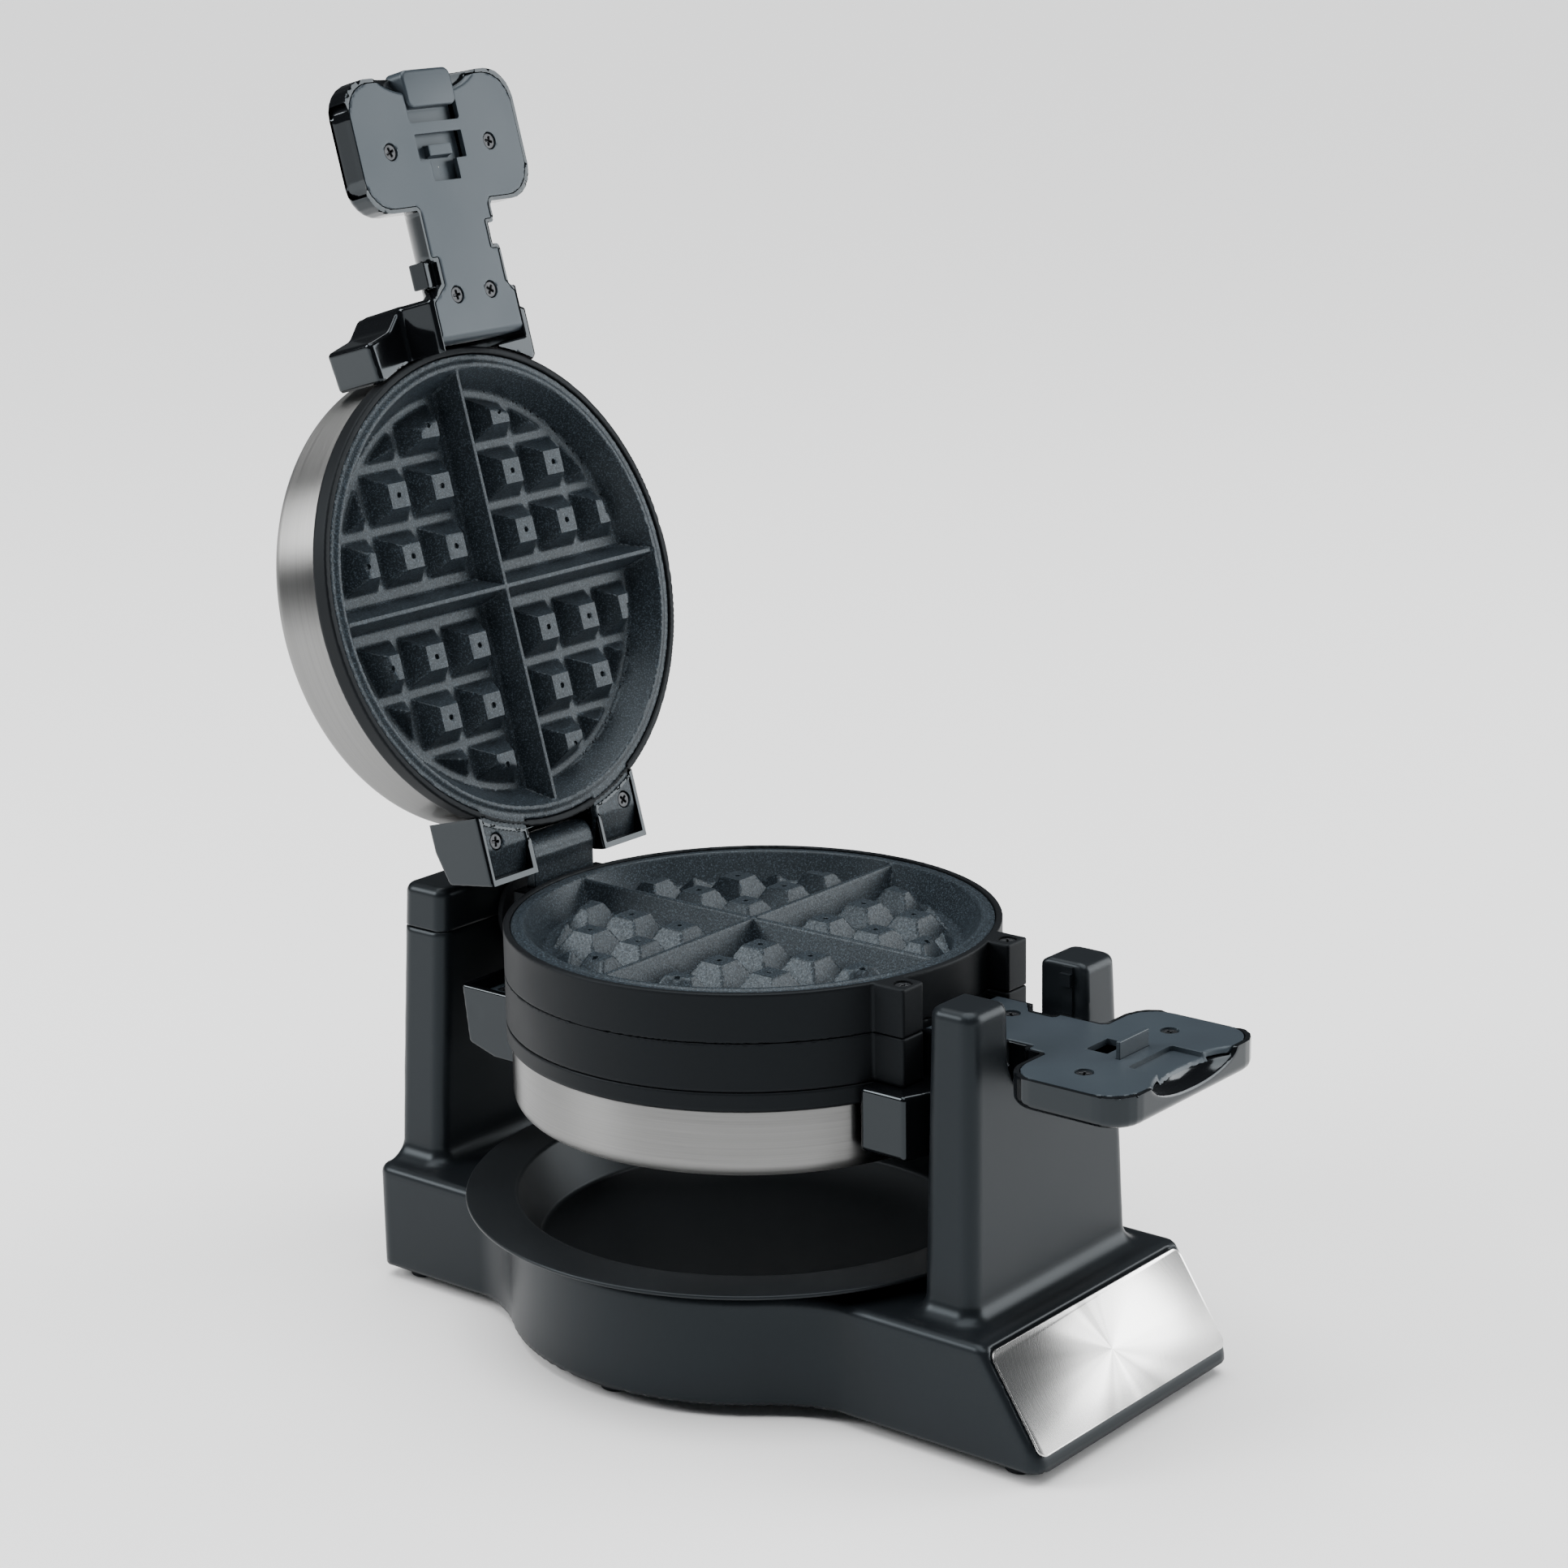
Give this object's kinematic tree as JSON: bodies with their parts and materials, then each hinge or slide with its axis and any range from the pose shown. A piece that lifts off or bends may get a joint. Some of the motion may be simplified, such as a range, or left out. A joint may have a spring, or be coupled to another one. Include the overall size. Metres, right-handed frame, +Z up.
{
  "type": "waffle maker",
  "caption": "Flip waffle maker: a round double grill with two steel-backed lids turning over in a forked stand above a drip tray, shown with the upper lid open.",
  "frame": {"origin": "middle of the footprint of the whole object with its upper lid open, on the table", "axes": "+X along the flip axis towards the handles, +Y to the back, +Z up"},
  "size_m": [0.4118, 0.248, 0.52],
  "materials": {
    "satin_black": "satin moulded plastic",
    "phenolic_black": "matt heat-proof plastic",
    "handle_matte": "fine matt moulded plastic",
    "gloss_black": "glossy moulded plastic",
    "non_stick": "grained non-stick coating on cast aluminium",
    "brushed_cover": "brushed round the rim",
    "spun_panel": null,
    "tray": "satin dark coating",
    "heater_sheath": "dull oxidised sheath",
    "screws": "black zinc plating",
    "bright_steel": "ground steel",
    "rubber": "matt rubber",
    "ceramic": "unglazed ceramic"
  },
  "bodies": {
    "stand": {"base_shell": "satin_black", "left_tower_cap": "satin_black", "bottom_cover": "satin_black", "end_panel": "spun_panel", "fork_detent": "satin_black", "cord_gland": "rubber", "terminal_block": "ceramic", "foot_1": "rubber", "foot_2": "rubber", "foot_3": "rubber", "foot_4": "rubber", "foot_5": "rubber", "foot_6": "rubber", "pivot_bush": "rubber"},
    "tray": {"drip_tray": "tray"},
    "grill": {"upper_ring": "phenolic_black", "upper_mid_plate": "non_stick", "upper_mid_heater": "heater_sheath", "upper_hinge_bracket": "non_stick", "ring_screw_1": "screws", "ring_screw_2": "screws", "lower_ring": "phenolic_black", "lower_mid_plate": "non_stick", "lower_mid_heater": "heater_sheath", "lower_hinge_bracket": "non_stick", "thermostat": "ceramic", "pivot_shaft": "bright_steel", "shaft_nut": "bright_steel"},
    "upper_lid": {"upper_cover": "brushed_cover", "upper_lid_rim": "phenolic_black", "upper_lid_plate": "non_stick", "upper_lid_heater": "heater_sheath", "upper_hinge_housing": "gloss_black", "upper_hinge_pin": "bright_steel", "upper_handle_shell": "gloss_black", "upper_handle_cover": "handle_matte", "upper_handle_screw_1": "screws", "upper_handle_screw_2": "screws", "upper_handle_screw_3": "screws", "upper_handle_screw_4": "screws", "upper_ear_screw_1": "screws", "upper_ear_screw_2": "screws", "latch_spring": "bright_steel"},
    "lower_lid": {"lower_cover": "brushed_cover", "lower_lid_rim": "phenolic_black", "lower_lid_plate": "non_stick", "lower_lid_heater": "heater_sheath", "lower_hinge_housing": "gloss_black", "lower_hinge_pin": "bright_steel", "lower_handle_shell": "gloss_black", "lower_handle_cover": "handle_matte", "lower_handle_screw_1": "screws", "lower_handle_screw_2": "screws", "lower_handle_screw_3": "screws", "lower_handle_screw_4": "screws", "lower_ear_screw_1": "screws", "lower_ear_screw_2": "screws", "catch_blade": "handle_matte"},
    "latch": {"latch_button": "handle_matte"}
  },
  "joints": [
    {"name": "tray_lift", "type": "slide", "parent": "stand", "child": "tray", "axis": [0, 0, 1], "range_m": [0, 0.018]},
    {"name": "flip", "type": "hinge", "parent": "stand", "child": "grill", "pos_m": [-0.01208, 0, 0.15833], "axis": [1, 0, 0], "range_deg": [0, 18]},
    {"name": "upper_lid_hinge", "type": "hinge", "parent": "grill", "child": "upper_lid", "pos_m": [-0.12588, 0, 0.18983], "axis": [0, 1, 0], "range_deg": [0, 105.17]},
    {"name": "lower_lid_hinge", "type": "hinge", "parent": "grill", "child": "lower_lid", "pos_m": [-0.12588, 0, 0.12683], "axis": [0, 1, 0], "range_deg": [0, 1]},
    {"name": "latch_slide", "type": "slide", "parent": "upper_lid", "child": "latch", "axis": [0.2617, 0, -0.9652], "range_m": [0, 0.006], "stiffness_N_per_m": 600, "springref_m": -0.004, "deforming": ["latch_spring"]}
  ]
}
